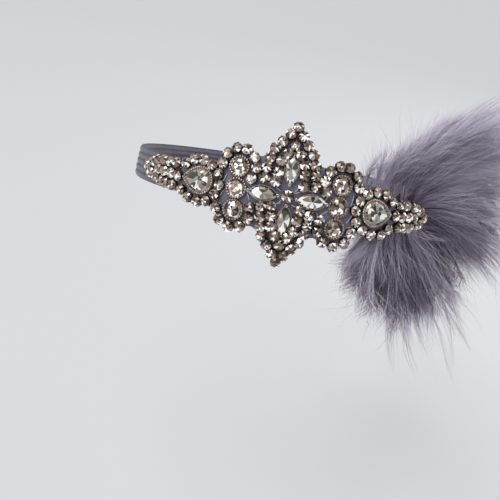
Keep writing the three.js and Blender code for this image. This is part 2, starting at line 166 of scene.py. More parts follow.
# %% Studio
SUN_WIDTH = math.radians(45)
LIGHTS = [
    {"name": "overhead", "kind": "SUN", "place": (-0.35, -0.15, 0.95), "energy": 1.7, "angle": SUN_WIDTH},
    {"name": "front_left", "kind": "AREA", "place": (-0.75, -0.85, 0.55), "energy": 1.9, "size": 0.6},
    {"name": "behind_right", "kind": "AREA", "place": (0.85, 0.55, 0.55), "energy": 3.0, "size": 0.5},
]
SKY = {"Color": (0.84, 0.86, 0.90, 1), "Strength": 0.6}


def add_light(name, kind, place, **settings):
    data = bpy.data.lights.new(name, kind)
    for setting, value in settings.items():
        setattr(data, setting, value)
    light = bpy.data.objects.new(name, data)
    light.location = place
    light.rotation_euler = (-Vector(place)).to_track_quat("-Z", "Y").to_euler()
    bpy.context.scene.collection.objects.link(light)


def add_sky():
    world = bpy.data.worlds.new("studio")
    world.use_nodes = True
    for socket, value in SKY.items():
        world.node_tree.nodes["Background"].inputs[socket].default_value = value
    bpy.context.scene.world = world


for light in LIGHTS:
    add_light(**light)
add_sky()
bpy.context.scene.view_settings.view_transform = "Standard"
print("studio:", len(LIGHTS), "lights and a pale sky")

# %% [markdown]
# Long node trees are hard to read as code. One small class wraps a socket so that sums on it look like
# sums, and another holds a finish while it is being made.

# %% Shader helpers
class Wire:
    """One output socket; arithmetic on it adds Math nodes."""

    def __init__(self, finish, socket):
        self.finish = finish
        self.socket = socket

    def reckoned(self, operation, *values):
        return self.finish.node("Math", {"operation": operation}, dict(enumerate(values)))

    def __add__(self, other):
        return self.reckoned("ADD", self, other)

    def __rsub__(self, other):
        return self.reckoned("SUBTRACT", other, self)

    def __mul__(self, other):
        return self.reckoned("MULTIPLY", self, other)

    def __pow__(self, other):
        return self.reckoned("POWER", self, other)

    def cosine(self):
        return self.reckoned("COSINE", self)

    __radd__ = __add__
    __rmul__ = __mul__


class Finish:
    """A material being made."""

    def __init__(self, name, **constants):
        self.material = bpy.data.materials.new(name)
        self.material.use_nodes = True
        self.tree = self.material.node_tree
        self.shader = self.tree.nodes["Principled BSDF"]
        self.show(**constants)

    def feed(self, socket, value):
        if isinstance(value, Wire):
            self.tree.links.new(value.socket, socket)
        else:
            socket.default_value = value

    def node(self, kind, settings, sockets, output=0):
        node = self.tree.nodes.new("ShaderNode" + kind)
        for name, value in settings.items():
            setattr(node, name, value)
        for name, value in sockets.items():
            self.feed(node.inputs[name], value)
        return Wire(self, node.outputs[output])

    def show(self, **values):
        for socket, value in values.items():
            self.feed(self.shader.inputs[socket.replace("_", " ")], value)

    def attribute(self, name, output="Fac"):
        return self.node("Attribute", {"attribute_name": name}, {}, output)

    def noise(self, size, detail=2):
        """Soft grain of a given size, fixed to the piece."""
        spot = self.node("TexCoord", {}, {}, "Object")
        return self.node("TexNoise", {}, {"Vector": spot, "Scale": 1 / size, "Detail": detail})

    def ramp(self, value, stops):
        """Colours that follow a value, through stops of (value, colour)."""
        wire = self.node("ValToRGB", {}, {"Fac": value})
        elements = wire.socket.node.color_ramp.elements
        while len(elements) < len(stops):
            elements.new(1)
        for element, (position, colour) in zip(elements, stops):
            element.position = position
            element.color = (*colour, 1)
        return wire

    def bump(self, height, depth, strength=1):
        return self.node("Bump", {}, {"Height": height, "Distance": depth, "Strength": strength})


print("shader helpers ready")

# %% [markdown]
# Every piece is finished alike: an object at the origin that rides on the one body and, where it stands
# for a node of the imported model, hides that node.

# %% Piece helpers
def mesh_of(name, bm):
    mesh = bpy.data.meshes.new(name)
    bm.to_mesh(mesh)
    bm.free()
    return mesh


def linked(name, mesh, finishes):
    for finish in finishes:
        mesh.materials.append(finish.material)
    thing = bpy.data.objects.new(name, mesh)
    bpy.context.scene.collection.objects.link(thing)
    return thing


def seated(name, mesh, finishes, slot, *nodes):
    piece = linked(name, mesh, finishes)
    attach(piece, "root")
    if nodes:
        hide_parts(*nodes)
    print(name, "has", len(mesh.polygons), "faces")
    return piece


def as_piece(name, bm, finishes, slot, *nodes, smooth=False):
    for face in bm.faces:
        face.smooth = smooth
    return seated(name, mesh_of(name, bm), finishes, slot, *nodes)


print("piece helpers ready")

# %% [markdown]
# The floor is one large, pale square, and marking it as stage keeps it out of the object.

# %% Floor
FLOOR_SIZE = 6.0
FLOOR_LEVEL = cad_box[0].z - 150 * MM


def add_floor():
    paint = Finish("floor_paint", Base_Color=(0.62, 0.62, 0.63, 1), Roughness=0.9)
    bm = bmesh.new()
    at = Matrix.Translation((0, 0, FLOOR_LEVEL))
    bmesh.ops.create_grid(bm, x_segments=1, y_segments=1, size=FLOOR_SIZE, matrix=at)
    floor = linked("floor", mesh_of("floor", bm), [paint])
    floor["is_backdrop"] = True


add_floor()
print("floor at", round(FLOOR_LEVEL, 3), "m")

# %% [markdown]
# The elastic is woven in ribs along it, crossed by threads too fine for geometry. They are bump, drawn
# on a map that runs along and across the band. The colour follows the same map: darker in the grooves
# between ribs, as painted shade, with the threads and a soft grain on top.

# %% Elastic finish
RIBS = 5
RIB_FULLNESS = 0.5
CROSS_THREAD = 0.7 * MM
# The dark end of these colours is painted shade in the grooves between ribs.
ELASTIC_COLOURS = [(0.2, (0.022, 0.02, 0.03)), (0.95, (0.135, 0.128, 0.168))]


def make_elastic():
    finish = Finish("elastic", Roughness=0.62, Sheen_Weight=0.25, Sheen_Roughness=0.4)
    spot = finish.node("UVMap", {"uv_map": "weave"}, {})
    along, across = (finish.node("SeparateXYZ", {}, {"Vector": spot}, axis) for axis in "XY")
    ridge = (0.5 - 0.5 * (across * (2 * math.pi * RIBS)).cosine()) ** RIB_FULLNESS
    thread = 0.5 + 0.5 * (along * (2 * math.pi * OVAL_LENGTH / CROSS_THREAD)).cosine()
    # Darker in the grooves, as painted shade, with the crossing threads and a soft grain on top.
    shade = ridge * 0.6 + thread * 0.12 + finish.noise(6 * MM) * 0.35
    finish.show(
        Base_Color=finish.ramp(shade, ELASTIC_COLOURS),
        Normal=finish.bump(ridge * 0.4 + thread * 0.6, 0.12 * MM, 0.7),
    )
    return finish


elastic = make_elastic()
print("elastic finish ready, with", RIBS, "ribs")

# %% [markdown]
# The ribs are real geometry: a ribbed profile is spun into a ring, which is easy to map, and then every
# vertex is carried from the ring to the head.

# %% Elastic band
BAND_HEIGHT = 16 * MM
BAND_GROOVE = 1.0 * MM
BAND_RIDGE = 1.6 * MM
RIB_STEPS = 8
BAND_STEPS = 240
MERGE_GAP = 0.01 * MM


def band_profile(bm):
    """A closed line of edges: the ribbed outside, then the plain inside."""
    rows = np.linspace(-1, 1, RIBS * RIB_STEPS + 1)
    wave = (0.5 - 0.5 * np.cos((rows + 1) * np.pi * RIBS)) ** RIB_FULLNESS
    outer = zip(BAND_GROOVE + (BAND_RIDGE - BAND_GROOVE) * wave, rows * BAND_HEIGHT / 2)
    inner = [(0, BAND_HEIGHT / 2), (0, -BAND_HEIGHT / 2)]
    verts = [bm.verts.new((0, -HEAD_HALF_WIDTH - out, up)) for out, up in [*outer, *inner]]
    for first, second in zip(verts, verts[1:] + verts[:1]):
        bm.edges.new((first, second))


def map_weave(bm):
    """A map once round the ring and once across it."""
    weave = bm.loops.layers.uv.new("weave")
    for face in bm.faces:
        turns = [math.atan2(loop.vert.co.x, -loop.vert.co.y) / (2 * math.pi) for loop in face.loops]
        wraps = max(turns) - min(turns) > 0.5
        for loop, turn in zip(face.loops, turns):
            loop[weave].uv = (turn + (wraps and turn < 0), loop.vert.co.z / BAND_HEIGHT + 0.5)


def ring_to_head(verts):
    x, y, z = np.array([v.co for v in verts]).T
    along = np.arctan2(x, -y) / (2 * np.pi) * OVAL_LENGTH
    for vert, spot in zip(verts, on_head(along, z, np.hypot(x, y) - HEAD_HALF_WIDTH)[0]):
        vert.co = spot


def make_band():
    bm = bmesh.new()
    band_profile(bm)
    bmesh.ops.spin(
        bm, geom=bm.verts[:] + bm.edges[:], cent=(0, 0, 0), axis=(0, 0, 1),
        angle=2 * math.pi, steps=BAND_STEPS, use_merge=True,
    )
    bmesh.ops.remove_doubles(bm, verts=bm.verts, dist=MERGE_GAP)
    bmesh.ops.recalc_face_normals(bm, faces=bm.faces)
    map_weave(bm)
    ring_to_head(bm.verts)
    return as_piece("elastic_loop", bm, [elastic], "elastic", "elastic_band", smooth=True)


band = make_band()

# %% [markdown]
# The backing is felt, cut to the outline of the stones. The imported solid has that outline, so its copy
# is merged, turned back into four-sided faces and smoothed by subdivision. Two sizes of noise give the
# mottling and the rough surface of short fibres.

# %% Felt
FELT_COLOURS = [(0.3, (0.105, 0.10, 0.138)), (0.7, (0.28, 0.27, 0.35))]
QUAD_BEND = math.radians(60)
QUAD_SKEW = math.radians(80)


def make_felt():
    finish = Finish("felt", Roughness=0.95, Sheen_Weight=0.35, Sheen_Roughness=0.5)
    fibre = finish.noise(0.5 * MM, 4)
    patch = finish.noise(5 * MM)
    finish.show(
        Base_Color=finish.ramp(fibre * 0.6 + patch * 0.4, FELT_COLOURS),
        Normal=finish.bump(fibre, 0.35 * MM, 0.8),
    )
    return finish


def make_backing():
    bm = bmesh.new()
    bm.from_mesh(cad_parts["felt_backing"].data)
    bmesh.ops.remove_doubles(bm, verts=bm.verts, dist=MERGE_GAP)
    bmesh.ops.join_triangles(
        bm, faces=bm.faces, angle_face_threshold=QUAD_BEND, angle_shape_threshold=QUAD_SKEW
    )
    backing = as_piece("felt_shape", bm, [felt], "felt", "felt_backing", smooth=True)
    rounded = backing.modifiers.new("rounded", "SUBSURF")
    rounded.levels = rounded.render_levels = 2
    return backing


felt = make_felt()
backing = make_backing()

# %% [markdown]
# A foil-backed stone looks like broken mirror, and here its reflections are painted into its colour: some
# facets carry a painted white glint, some a warm grey and some brown-black, partly the stone's tint and
# partly painted reflection. Each facet carries its own colour as a face attribute, chosen by chance but
# whiter on its lower side, as painted light from above. A row of shares says how often each colour comes
# up. The brightest facets also glow a little, a painted glint, and a clear coat adds the gloss.

# %% Crystal and setting finishes
# Facet colours: a painted white glint first, then colours that are partly the stone's tint and partly painted
# reflection. The lower halves' shares give more painted glints, as painted light from above.
SMALL_FACETS = {
    "colours": {
        "painted_glint": (1.0, 0.99, 0.95),
        "pale": (0.53, 0.442, 0.38),
        "champagne": (0.28, 0.208, 0.16),
        "smoke": (0.108, 0.068, 0.047),
        "brown": (0.022, 0.012, 0.008),
    },
    "crown above": (0.06, 0.10, 0.25, 0.32, 0.27),
    "crown below": (0.27, 0.24, 0.23, 0.15, 0.11),
    "table above": (0.05, 0.17, 0.37, 0.26, 0.15),
    "table below": (0.27, 0.28, 0.26, 0.12, 0.07),
}
# The large stones' facets alike: a painted glint, then tint and painted reflection, whiter below as painted
# light from above.
LARGE_FACETS = {
    "colours": {
        "painted_glint": (0.88, 0.88, 0.85),
        "mist": (0.47, 0.45, 0.425),
        "rose": (0.335, 0.25, 0.215),
        "olive": (0.095, 0.092, 0.055),
        "brown": (0.03, 0.019, 0.014),
    },
    "crown above": (0.02, 0.22, 0.46, 0.17, 0.13),
    "crown below": (0.09, 0.29, 0.40, 0.12, 0.10),
    "table above": (0.02, 0.24, 0.10, 0.47, 0.17),
    "table below": (0.45, 0.33, 0.14, 0.06, 0.02),
}
# The palest facets glow a little: a painted glint, from no lamp.
PAINTED_GLOW = 0.35
PAINTED_GLOW_STOPS = [(0.7, (0, 0, 0)), (0.95, (1, 1, 1))]
METALS = [
    {
        "name": "setting", "metallic": 1.0, "grain": 1.5 * MM, "detail": 3, "rough": 0.45, "polish": 0.2,
        # The setting's dark browns are partly the metal's own colour and partly painted shade for the deep
        # gaps between stones.
        "colours": [(0.35, (0.035, 0.021, 0.016)), (0.65, (0.2, 0.145, 0.105))],
    },
    {
        "name": "beading", "metallic": 0.9, "grain": 0.9 * MM, "detail": 2, "rough": 0.42, "polish": 0.25,
        "colours": [(0.3, (0.24, 0.185, 0.145)), (0.7, (0.66, 0.57, 0.49))],
    },
]


def make_crystal():
    finish = Finish(
        "crystal", Metallic=0.55, Roughness=0.12, Coat_Weight=0.6, Coat_Roughness=0.04,
        Emission_Strength=PAINTED_GLOW,
    )
    # Only the palest facet colours glow: a painted glint.
    painted_glow = finish.ramp(finish.attribute("facet"), PAINTED_GLOW_STOPS)
    finish.show(Base_Color=finish.attribute("facet", "Color"), Emission_Color=painted_glow)
    return finish


def make_metal(name, metallic, grain, detail, rough, polish, colours):
    finish = Finish(name, Metallic=metallic)
    wear = finish.noise(grain, detail)
    finish.show(Base_Color=finish.ramp(wear, colours), Roughness=rough - wear * polish)
    return finish


crystal = make_crystal()
setting, beading = (make_metal(**metal) for metal in METALS)
STONE_FINISHES = [setting, crystal, beading]
SETTING, CRYSTAL, BEADING = range(3)
print("stone finishes ready")

# %% [markdown]
# Every stone and cup is an outline raised through a few levels by extruding one face again and again.
# Each vertex remembers its turn round the outline, so one function serves round, pointed and pear-
# shaped stones. A level is its share of the outline, its height and its twist in steps: half a step of
# twist, with the walls split, gives the zigzag triangles of a cut crown.

# %% Raise a form through levels
def in_order(parts):
    """Each part once, in a fixed order, so that a seed always draws the same stones."""
    return list(dict.fromkeys(parts))


def raised(bm, outline, sides, levels, finish):
    """An outline raised through levels, its last face split like a star."""
    turn = bm.verts.layers.float["turn"]
    step = 2 * math.pi / sides
    ring = bmesh.ops.create_circle(bm, cap_ends=True, segments=sides, radius=1)["verts"]
    for vert in ring:
        vert[turn] = math.atan2(vert.co.y, vert.co.x)
    top = ring[0].link_faces[0]
    faces = []
    for number, (share, height, twist) in enumerate(levels):
        if number:
            grown = bmesh.ops.extrude_face_region(bm, geom=[top])["geom"]
            ring = [part for part in grown if isinstance(part, bmesh.types.BMVert)]
            top = next(part for part in grown if isinstance(part, bmesh.types.BMFace))
        for vert in ring:
            x, y = outline(vert[turn] + twist * step)
            vert.co = (x * share, y * share, height)
        if number:
            walls = in_order(face for vert in ring for face in vert.link_faces if face != top)
            if twist != levels[number - 1][2]:
                walls = bmesh.ops.triangulate(bm, faces=walls)["faces"]
            faces += walls
    for face in faces + bmesh.ops.poke(bm, faces=[top])["faces"]:
        face.material_index = finish


def new_form():
    bm = bmesh.new()
    bm.verts.layers.float.new("turn")
    return bm


def finished_form(name, bm):
    """Closes a form and keeps it as a mesh to copy from."""
    bmesh.ops.recalc_face_normals(bm, faces=bm.faces)
    bm.verts.layers.float.remove(bm.verts.layers.float["turn"])
    print(name, "is one form of", len(bm.faces), "faces")
    return mesh_of(name, bm)


print("form helpers ready")

# %% [markdown]
# A round stone has a zigzag crown and a star-split table, and sits in a straight ten-sided cup with
# four spikes for claws. The form stays simple, because it is used about two hundred times.

# %% Round stones
STONE_SIDES = 10
STONE_FLAT = 4.95 * MM
CENTRE_FLAT = 5.6 * MM
CUP_LEVELS = [(0.97, 0, 0), (0.97, 2.0 * MM, 0)]
STONE_LEVELS = [(0.98, 1.9 * MM, 0), (0.98, 2.15 * MM, 0), (0.56, 3.2 * MM, 0.5)]
CLAWS = 4
CLAW_WIDTH = 0.36 * MM
CLAW_LENGTH = 1.1 * MM
CLAW_SHARE = 0.9
CLAW_HEIGHT = 2.25 * MM
CLAW_LEAN = -0.5


def round_outline(radius):
    return lambda turn: (radius * math.cos(turn), radius * math.sin(turn))


def make_round_stone(name, flat):
    bm = new_form()
    radius = flat / 2 / math.cos(math.pi / STONE_SIDES)
    raised(bm, round_outline(radius), STONE_SIDES, CUP_LEVELS, SETTING)
    raised(bm, round_outline(radius), STONE_SIDES, STONE_LEVELS, CRYSTAL)
    at_edge = Matrix.Translation((radius * CLAW_SHARE, 0, CLAW_HEIGHT)) @ rotation("Y", CLAW_LEAN)
    for claw in range(CLAWS):
        turn = rotation("Z", (claw + 0.5) * 2 * math.pi / CLAWS)
        bmesh.ops.create_cone(
            bm, cap_ends=True, segments=3, radius1=CLAW_WIDTH, radius2=0, depth=CLAW_LENGTH,
            matrix=turn @ at_edge,
        )
    return finished_form(name, bm)


round_stone = make_round_stone("round_stone", STONE_FLAT)
centre_form = make_round_stone("centre_stone_form", CENTRE_FLAT)

# %% [markdown]
# The facets are coloured when a form is copied to its place, so that no two stones sparkle alike. Small
# faces in the same sector and tier share a colour, which makes the larger kites that a cut stone shows.
# Sewn stones also sit a little tipped. All chance comes from one seed, so every run gives the same
# headband.

# %% Copy a form to its place
RNG = np.random.default_rng(1925)
TIP = math.radians(5)
SECTORS = 10
TIER = 0.5 * MM
# How much whiter a stone's lower side is: painted light from above.
LOWER_SIDE_PAINTED_LIGHT = 0.9
STONE_MIDDLE = 0.2 * MM
FLAT_ENOUGH = 0.93


def facet_colour(spot, tier, facets):
    """A colour by chance, whiter below the middle of the stone than above, as painted light from above."""
    from_middle = max(math.hypot(spot.x, spot.y), STONE_MIDDLE)
    below = np.clip(0.5 - LOWER_SIDE_PAINTED_LIGHT * spot.y / from_middle, 0, 1)
    above, under = (np.array(facets[f"{tier} {half}"]) for half in ("above", "below"))
    colours = list(facets["colours"].values())
    return colours[RNG.choice(len(colours), p=above * (1 - below) + under * below)]


def kites_of(faces, seat):
    """Crystal facets, grouped by sector and tier of the stone, in a fixed order."""
    kites = {}
    inverse = seat.inverted()
    for face in faces:
        if face.material_index == CRYSTAL:
            spot = inverse @ face.calc_center_median()
            sector = math.floor(SECTORS * math.atan2(spot.y, spot.x) / (2 * math.pi))
            kites.setdefault((sector, round(spot.z / TIER)), []).append((face, spot))
    return [kites[place] for place in sorted(kites)]


def stone_colours(faces, seat, facets):
    """Gives each kite of a stone one colour."""
    upright = seat.to_3x3() @ Vector((0, 0, 1))
    for kite in kites_of(faces, seat):
        middle = sum((spot for _, spot in kite), Vector()) / len(kite)
        flatness = max(face.normal.dot(upright) for face, _ in kite)
        colour = facet_colour(middle, "table" if flatness > FLAT_ENOUGH else "crown", facets)
        for face, _ in kite:
            yield face, colour


def copy_form(bm, form, seat, turn=0.0, tip=TIP, facets=SMALL_FACETS):
    """Adds a form to a mesh at a seat, and colours its facets."""
    facet = bm.faces.layers.float_color["facet"]
    verts_before, faces_before = len(bm.verts), len(bm.faces)
    bm.from_mesh(form)
    bm.verts.ensure_lookup_table()
    bm.faces.ensure_lookup_table()
    tipped = rotation("X", RNG.normal() * tip) @ rotation("Y", RNG.normal() * tip)
    place = seat @ tipped @ rotation("Z", turn)
    bmesh.ops.transform(bm, matrix=place, verts=bm.verts[verts_before:])
    bm.normal_update()
    for face, colour in stone_colours(bm.faces[faces_before:], seat, facets):
        face[facet] = (*colour, 1)


def new_jewels():
    bm = bmesh.new()
    bm.faces.layers.float_color.new("facet")
    return bm


print("facets come in", len(SMALL_FACETS["colours"]), "colours")

# %% [markdown]
# The felt is sewn on a little aslant, its right arm climbs over the plumes' roots, and its stiff ends
# stay turned to the front, so a stone's seat depends on where it is.

# %% Where a stone sits
FELT_SEAT = BAND_RIDGE + 0.4 * MM
STONE_SEAT = FELT_SEAT + 1.5 * MM
APPLIQUE_SLANT = -0.022
PLUME_LIFT = 2.0 * MM
LIFT_STARTS = 4 * MM
LIFT_ENDS = 44 * MM
CLIMB_STEP = 0.5 * MM
END_LEAN = math.radians(20)
LEAN_STARTS = 45 * MM
LEAN_ENDS = 75 * MM


def lift_at(along):
    """How far the applique stands off over the plumes' roots."""
    share = np.clip((along - LIFT_STARTS) / (LIFT_ENDS - LIFT_STARTS), 0, 1)
    return PLUME_LIFT * share * share * (3 - 2 * share)


def end_lean(along):
    """How far the stones at the two ends turn back to the front."""
    share = np.clip((abs(along) - LEAN_STARTS) / (LEAN_ENDS - LEAN_STARTS), 0, 1)
    return END_LEAN * share * np.sign(along)


def stone_seat(along, up):
    climb = math.atan((lift_at(along + CLIMB_STEP) - lift_at(along - CLIMB_STEP)) / (2 * CLIMB_STEP))
    seat = seat_matrix(along, up + APPLIQUE_SLANT * along, STONE_SEAT + lift_at(along))
    return seat @ rotation("Y", -climb - end_lean(along))


def turned_seat(along, up, turn):
    return stone_seat(along, up) @ rotation("Z", turn)


print("stones sit", round(STONE_SEAT / MM, 2), "mm off the head")

# %% [markdown]
# The round stones run in chains: two nested rows make a diamond above and below the middle, curls go
# round the rosettes, a ring goes round each pear, and a leaf closes each end. All sizes are in
# millimetres.

# %% Where the chains run
DIAMONDS = {
    "top_outer_chain": {"count": 13, "point": 29.2, "shoulder": (9.6, 17.8), "waist": (11.1, 6.0)},
    "top_inner_chain": {"count": 9, "point": 21.4, "shoulder": (5.6, 13.6), "waist": (6.0, 5.2)},
    "bottom_outer_chain": {"count": 13, "point": -29.2, "shoulder": (9.2, -17.6), "waist": (10.6, -6.2)},
    "bottom_inner_chain": {"count": 9, "point": -21.4, "shoulder": (5.4, -13.6), "waist": (5.9, -5.2)},
}
RINGS = {
    "upper_scroll_chain": {"count": 7, "centre": (22.8, 8.6), "radii": (7.75, 7.75), "sweep": (210, 0)},
    "lower_scroll_chain": {"count": 6, "centre": (22.3, -10.2), "radii": (7.8, 7.8), "sweep": (-6, -200)},
    "pear_chain": {"count": 11, "centre": (41.0, -1.2), "radii": (10.8, 9.4), "sweep": (-40, -320)},
}
LEAF = {
    "heel": 55.2, "end": 77.6, "axis": -1.2, "half_width": 5.2, "row_count": 5,
    "core": (52.4, 57.2, 62.2, 67.0),
}
SIDES = {"left": -1, "right": 1}


def spaced(points, count, closed=False):
    """Places at equal distances along a line of points."""
    runs = runs_along(points)
    spots = np.linspace(0, runs[-1], count, endpoint=not closed)
    return points_from(*(np.interp(spots, runs, values) for values in points.T))


def diamond_places(count, point, shoulder, waist):
    corners = [(-waist[0], waist[1]), (-shoulder[0], shoulder[1]), (0, point), shoulder, waist]
    return spaced(np.array(corners), count)


def ring_places(count, centre, radii, sweep):
    turns = np.radians(np.linspace(*sweep, count))
    return points_from(centre[0] + radii[0] * np.cos(turns), centre[1] + radii[1] * np.sin(turns))


def leaf_places(heel, end, axis, half_width, row_count, core):
    rows = np.arange(-row_count, row_count + 1)
    back = np.abs(rows) / row_count
    rise = np.sign(rows) * half_width * np.sqrt(np.sin(back * np.pi / 2))
    outer = points_from(end + (heel - end) * back, axis + rise)
    return np.concatenate([outer, [(along, axis) for along in core]])


def chain_table():
    """Every chain's node and the places of its stones."""
    chains = {node: diamond_places(**sizes) * MM for node, sizes in DIAMONDS.items()}
    for side, way in SIDES.items():
        for name, sizes in RINGS.items():
            chains[f"{side}_{name}"] = ring_places(**sizes) * (way * MM, MM)
        chains[f"{side}_tip_chain"] = leaf_places(**LEAF) * (way * MM, MM)
    return chains


CHAINS = chain_table()
print(len(CHAINS), "chains of", sum(len(places) for places in CHAINS.values()), "round stones")

# %% [markdown]
# A chain is one mesh of stones, each turned to follow it, with a small flat link between neighbours.

# %% Chains of round stones
TURN_SCATTER = 0.1
LINK_SIZE = (2.4 * MM, 1.8 * MM, 0.9 * MM)
LONGEST_LINK = 6 * MM


def links(places):
    """Where neighbouring stones are joined, and the direction of each link."""
    for first, second in zip(places, places[1:]):
        step = second - first
        if np.linalg.norm(step) < LONGEST_LINK:
            yield (first + second) / 2, math.atan2(step[1], step[0])


def make_chain(node, places):
    bm = new_jewels()
    for (along, up), step in zip(places, np.gradient(places, axis=0)):
        turn = math.atan2(step[1], step[0]) + math.pi / STONE_SIDES + RNG.normal() * TURN_SCATTER
        copy_form(bm, round_stone, stone_seat(along, up), turn=turn)
    for (along, up), turn in links(places):
        seat = turned_seat(along, up, turn) @ Matrix.Translation((0, 0, LINK_SIZE[2] / 2))
        bmesh.ops.create_cube(bm, size=1, matrix=seat @ Matrix.Diagonal((*LINK_SIZE, 1)))
    return as_piece(node.replace("chain", "stones"), bm, STONE_FINISHES, "crystal", node)


for node, places in CHAINS.items():
    make_chain(node, places)

# %% [markdown]
# A rosette is a larger round stone in a dish, with a collar of tiny beads.

# %% Rosettes and centre stone
ROSETTES = {"upper_rosette": (22.8, 8.6), "middle_rosette": (22.4, -0.8), "lower_rosette": (22.3, -10.2)}
ROSETTE_RADIUS = 5.1 * MM
ROSETTE_STONE = 4.0 * MM
ROSETTE_SIDES = 12
ROSETTE_DISH = [(0.92, 0, 0), (0.95, 0.7 * MM, 0)]
ROSETTE_LEVELS = [(1.0, 0.6 * MM, 0), (1.0, 1.3 * MM, 0), (0.8, 2.1 * MM, 0.5), (0.5, 2.8 * MM, 1)]
ROSETTE_BEADS = 22
BEAD_RADIUS = 0.66 * MM
BEAD_HEIGHT = 1.0 * MM
SINGLE_TIP = 0.3 * TIP


def add_bead(bm, place, radius):
    made = bmesh.ops.create_uvsphere(
        bm, u_segments=8, v_segments=5, radius=radius, matrix=Matrix.Translation(place)
    )
    for vert in made["verts"]:
        for face in vert.link_faces:
            face.material_index = BEADING


def make_rosette():
    bm = new_form()
    raised(bm, round_outline(ROSETTE_RADIUS), ROSETTE_SIDES, ROSETTE_DISH, BEADING)
    raised(bm, round_outline(ROSETTE_STONE), ROSETTE_SIDES, ROSETTE_LEVELS, CRYSTAL)
    collar = round_outline(ROSETTE_RADIUS - BEAD_RADIUS)
    for bead in range(ROSETTE_BEADS):
        add_bead(bm, (*collar(bead * 2 * math.pi / ROSETTE_BEADS), BEAD_HEIGHT), BEAD_RADIUS)
    return finished_form("rosette_form", bm)


def make_single(name, node, form, along, up, turn=0.0, facets=SMALL_FACETS):
    bm = new_jewels()
    copy_form(bm, form, stone_seat(along * MM, up * MM), turn, SINGLE_TIP, facets)
    return as_piece(name, bm, STONE_FINISHES, "crystal", node)


rosette_form = make_rosette()
for side, way in SIDES.items():
    for name, (along, up) in ROSETTES.items():
        make_single(f"{side}_{name}_jewel", f"{side}_{name}", rosette_form, way * along, up)
make_single("centre_jewel", "centre_stone", centre_form, 0, 0)

# %% [markdown]
# A navette is a boat-shaped stone, two equal arcs that meet in points, in a flat setting with an eye at
# each end to sew it down.

# %% Navettes
NAVETTES = {
    "top_navette": (0, 11.5, 90),
    "bottom_navette": (0, -10.4, 90),
    "left_navette": (-10.6, -0.5, 0),
    "right_navette": (10.6, -0.5, 0),
}
NAVETTE_LENGTH = 15.4 * MM
NAVETTE_WIDTH = 7.3 * MM
NAVETTE_SIDES = 16
NAVETTE_SETTING = [(0.95, 0, 0), (1.0, 1.3 * MM, 0)]
NAVETTE_LEVELS = [(1.0, 1.2 * MM, 0), (1.0, 1.5 * MM, 0), (0.78, 2.25 * MM, 0.5), (0.5, 2.65 * MM, 1)]
EYES_SPAN = 1.4 * MM
SETTING_RIM = 0.5 * MM
EYE_RADIUS = 0.8 * MM
EYE_WIRE = 0.26 * MM
EYE_HEIGHT = 1.4 * MM


def navette_outline(length, width):
    half, rise = length / 2, width / 2
    radius = (half * half + rise * rise) / (2 * rise)
    sweep = math.asin(half / radius)

    def outline(turn):
        turn = turn % (2 * math.pi)
        upper = turn < math.pi
        share = (turn if upper else turn - math.pi) / math.pi
        angle = sweep * (1 - 2 * share)
        x, y = radius * math.sin(angle), radius * math.cos(angle) - (radius - rise)
        return (x, y) if upper else (-x, -y)

    return outline


def add_eye(bm, place):
    """A small ring of wire, spun from a circle."""
    wire = Matrix.Translation(place + Vector((EYE_RADIUS - EYE_WIRE, 0, 0)))
    circle = bmesh.ops.create_circle(
        bm, segments=6, radius=EYE_WIRE, matrix=wire @ rotation("X", math.pi / 2)
    )["verts"]
    edges = in_order(edge for vert in circle for edge in vert.link_edges)
    bmesh.ops.spin(
        bm, geom=circle + edges, cent=place, axis=(0, 0, 1), angle=2 * math.pi, steps=10, use_merge=True
    )


def make_navette():
    bm = new_form()
    for way in SIDES.values():
        add_eye(bm, Vector((way * (NAVETTE_LENGTH / 2 - EYE_RADIUS), 0, EYE_HEIGHT)))
    for face in bm.faces:
        face.material_index = BEADING
    length = NAVETTE_LENGTH - EYES_SPAN
    raised(bm, navette_outline(length, NAVETTE_WIDTH), NAVETTE_SIDES, NAVETTE_SETTING, BEADING)
    stone = navette_outline(length - SETTING_RIM, NAVETTE_WIDTH - SETTING_RIM)
    raised(bm, stone, NAVETTE_SIDES, NAVETTE_LEVELS, CRYSTAL)
    return finished_form("navette_form", bm)


navette_form = make_navette()
for node, (along, up, turn) in NAVETTES.items():
    make_single(node + "_jewel", node, navette_form, along, up, math.radians(turn), LARGE_FACETS)

# %% [markdown]
# The two pears are the largest stones: a half circle drawn out to a point, three rows of facets, and a
# rope of tiny beads all round.

# %% Pears
PEAR_LENGTH = 17.4 * MM
PEAR_WIDTH = 13.8 * MM
PEAR_SHOULDER = 0.55
PEAR_FULLNESS = 0.95
PEAR_SIDES = 20
PEAR_DISH = [(0.95, 0, 0), (0.98, 1.0 * MM, 0)]
PEAR_LEVELS = [
    (1.0, 0.9 * MM, 0), (1.0, 1.5 * MM, 0), (0.82, 2.5 * MM, 0.5), (0.62, 3.15 * MM, 1), (0.3, 3.3 * MM, 1.5),
]
PEAR_RIM = 2.4 * MM
ROPE_INSET = 1.4 * MM
ROPE_STEPS = 720
ROPE_HEIGHT = 1.3 * MM
PEAR_BEADS = 38
PEAR_BEAD = 0.72 * MM
PEAR_ROUND_END = 39.6
ARM_AXIS = -1.0


def pear_outline(inset):
    round_end = (PEAR_WIDTH - inset) / 2
    reach = PEAR_LENGTH - inset - round_end

    def outline(turn):
        turn = (turn + math.pi) % (2 * math.pi) - math.pi
        if abs(turn) > math.pi / 2:
            return round_end * math.cos(turn), round_end * math.sin(turn)
        share = abs(turn) / (math.pi / 2)
        ends = (1 - share) ** 2, 2 * share * (1 - share), share ** 2
        x = ends[0] * reach + ends[1] * reach * PEAR_SHOULDER
        y = ends[1] * round_end * PEAR_FULLNESS + ends[2] * round_end
        return x, math.copysign(y, turn)

    return outline


